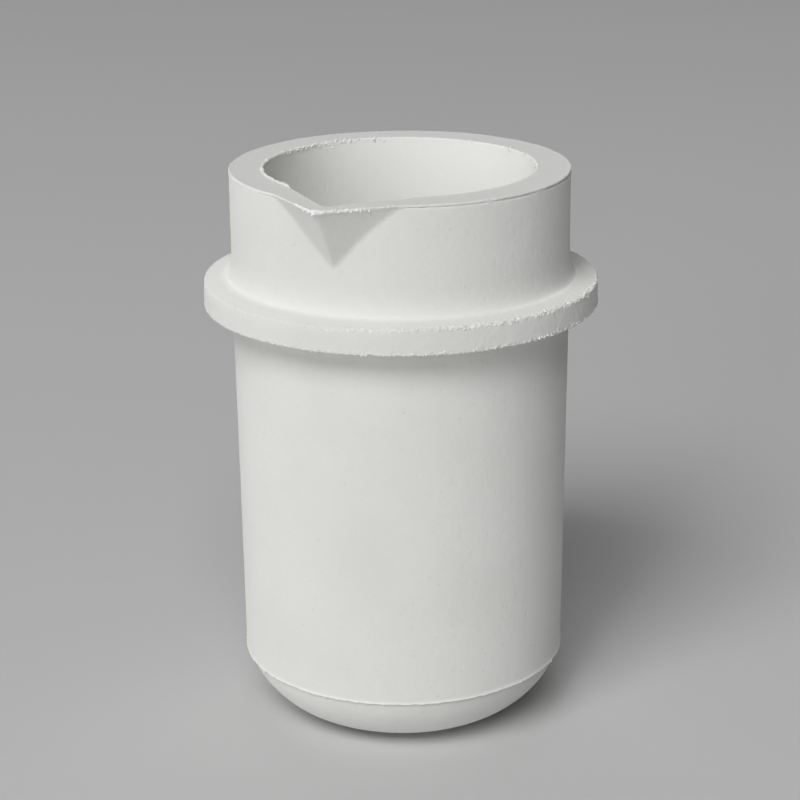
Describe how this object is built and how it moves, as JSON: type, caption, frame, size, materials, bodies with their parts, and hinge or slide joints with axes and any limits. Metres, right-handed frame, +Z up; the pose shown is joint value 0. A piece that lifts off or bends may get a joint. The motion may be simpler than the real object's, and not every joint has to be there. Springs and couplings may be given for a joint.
{
  "type": "pouring crucible",
  "caption": "Tall unglazed white ceramic crucible with a rounded base, a square-edged collar round the upper part, a plain rim and a V-shaped pouring lip.",
  "frame": {"origin": "centre of the flat foot, on the surface that the crucible stands on", "axes": "+Z up along the body's axis of revolution; the pouring lip points towards -Y"},
  "size_m": [0.0584, 0.0596, 0.0848],
  "materials": {
    "refractory_ceramic": "matte, unglazed, slightly sandy"
  },
  "bodies": {
    "root": {"base_cup": "refractory_ceramic", "barrel": "refractory_ceramic", "collar": "refractory_ceramic", "neck": "refractory_ceramic", "pouring_lip": "refractory_ceramic"}
  },
  "joints": []
}
